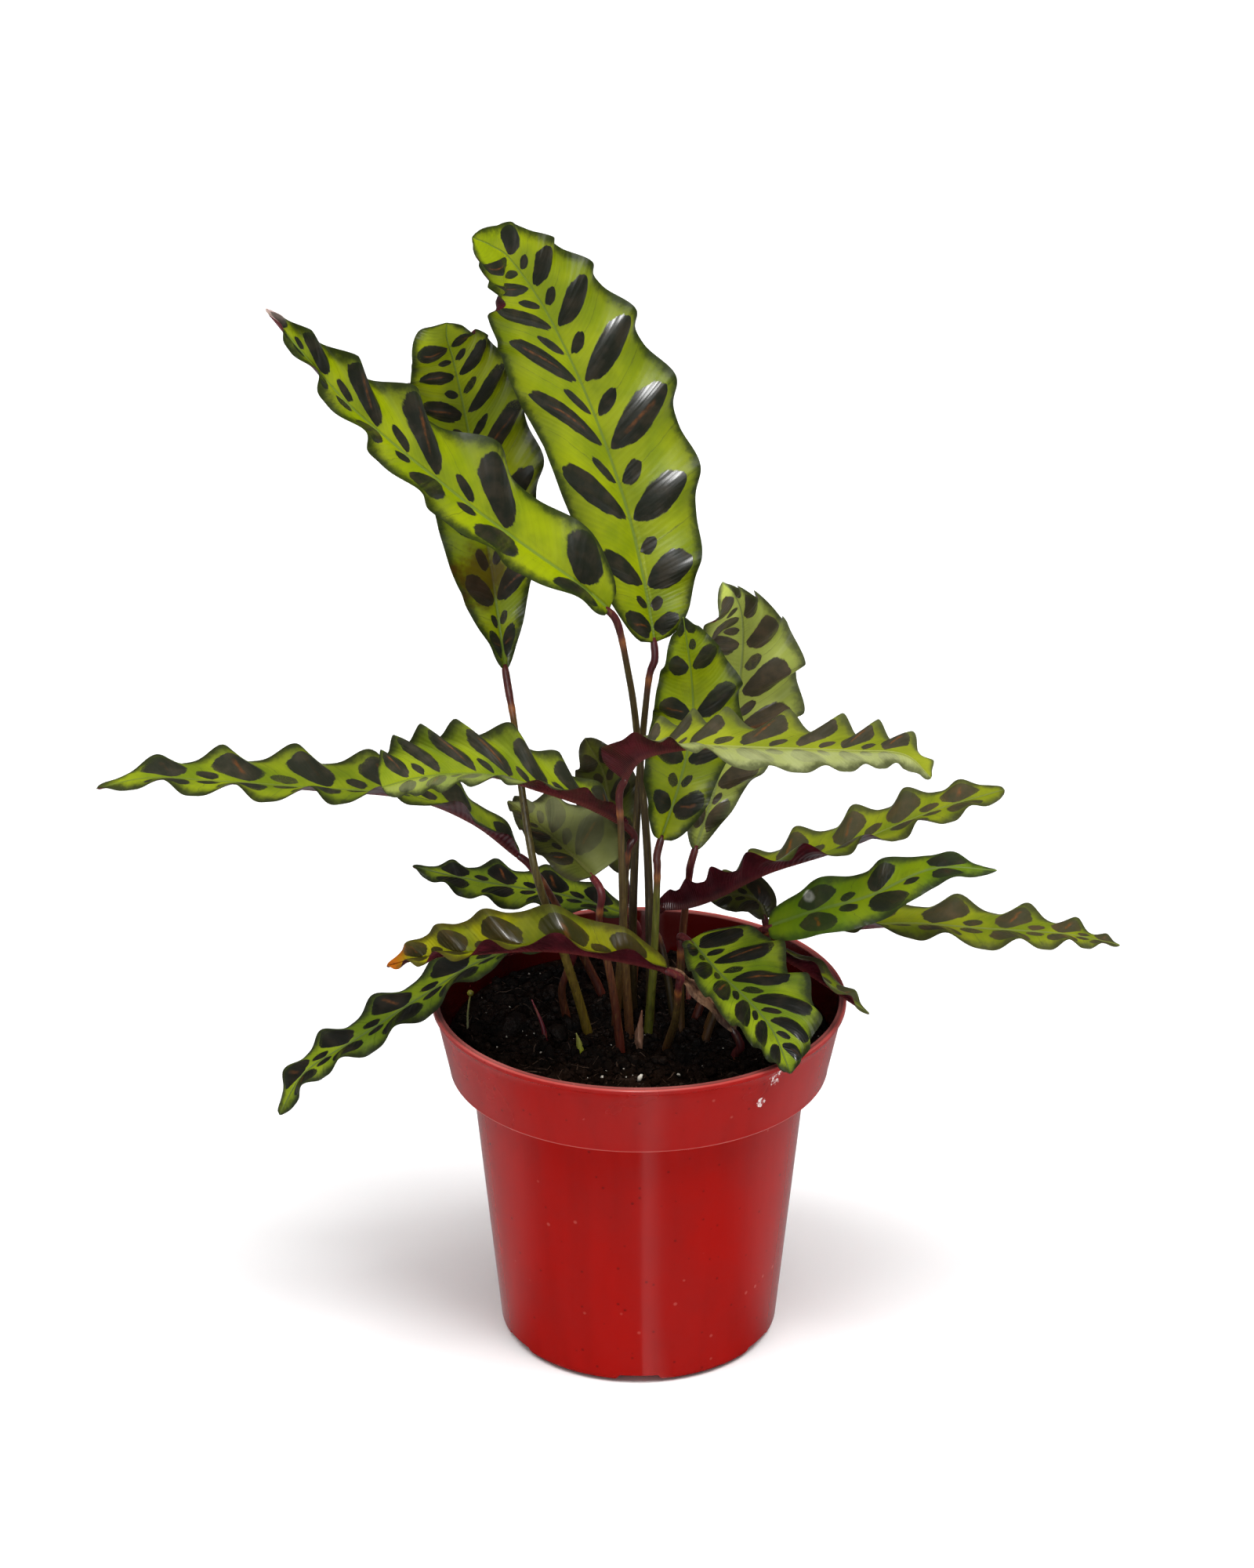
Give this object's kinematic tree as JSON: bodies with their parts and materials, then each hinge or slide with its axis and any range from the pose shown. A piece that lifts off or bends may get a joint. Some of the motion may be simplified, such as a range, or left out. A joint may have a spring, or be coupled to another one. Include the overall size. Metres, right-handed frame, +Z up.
{
  "type": "potted rattlesnake plant",
  "caption": "Young prayer plant with long wavy patterned leaves on thin stalks, standing in a soil-filled red plastic nursery pot.",
  "frame": {"origin": "centre of the pot's underside, on the surface it stands on", "axes": "+Z up along the pot's axis, -Y towards the front of the plant, +X to the right of someone who faces it"},
  "size_m": [0.3374, 0.14, 0.3938],
  "materials": {
    "pot": "glossy deep red injection-moulded plastic with light scuffs on the rim",
    "soil": null,
    "leaf": "satin yellow-green blade with dark green ellipses on both sides of the midrib, maroon underside; leather stands in for leaf tissue",
    "stalk": "olive to red-brown smooth stalk, dark red joint below the blade; leather stands in for stem tissue",
    "shoot": "dark red rolled young shoot; leather stands in for stem tissue",
    "dry": "papery dried brown leaf"
  },
  "bodies": {
    "root": {"tall_right_blade": "leaf", "tall_right_stalk": "stalk", "tall_left_blade": "leaf", "tall_left_stalk": "stalk", "left_diagonal_blade": "leaf", "left_diagonal_stalk": "stalk", "centre_upright_blade": "leaf", "centre_upright_stalk": "stalk", "right_upright_blade": "leaf", "right_upright_stalk": "stalk", "right_arch_blade": "leaf", "right_arch_stalk": "stalk", "left_arch_blade": "leaf", "left_arch_stalk": "stalk", "far_left_blade": "leaf", "far_left_stalk": "stalk", "back_left_small_blade": "leaf", "back_left_small_stalk": "stalk", "front_left_folded_blade": "leaf", "front_left_folded_stalk": "stalk", "right_upper_blade": "leaf", "right_upper_stalk": "stalk", "right_lower_blade": "leaf", "right_lower_stalk": "stalk", "right_middle_blade": "leaf", "right_middle_stalk": "stalk", "right_olive_blade": "leaf", "right_olive_stalk": "stalk", "front_right_broad_blade": "leaf", "front_right_broad_stalk": "stalk", "right_rim_small_blade": "leaf", "right_rim_small_stalk": "stalk", "left_rim_long_blade": "leaf", "left_rim_long_stalk": "stalk", "centre_front_small_blade": "leaf", "centre_front_small_stalk": "stalk", "back_centre_blade": "leaf", "back_centre_stalk": "stalk", "dried_blade": "dry", "dried_stalk": "dry", "shoot_green": "leaf", "shoot_red_left": "shoot", "shoot_red_centre": "shoot", "dried_sheath": "dry", "seedling": "leaf", "pot": "pot", "soil": "soil"}
  },
  "joints": []
}
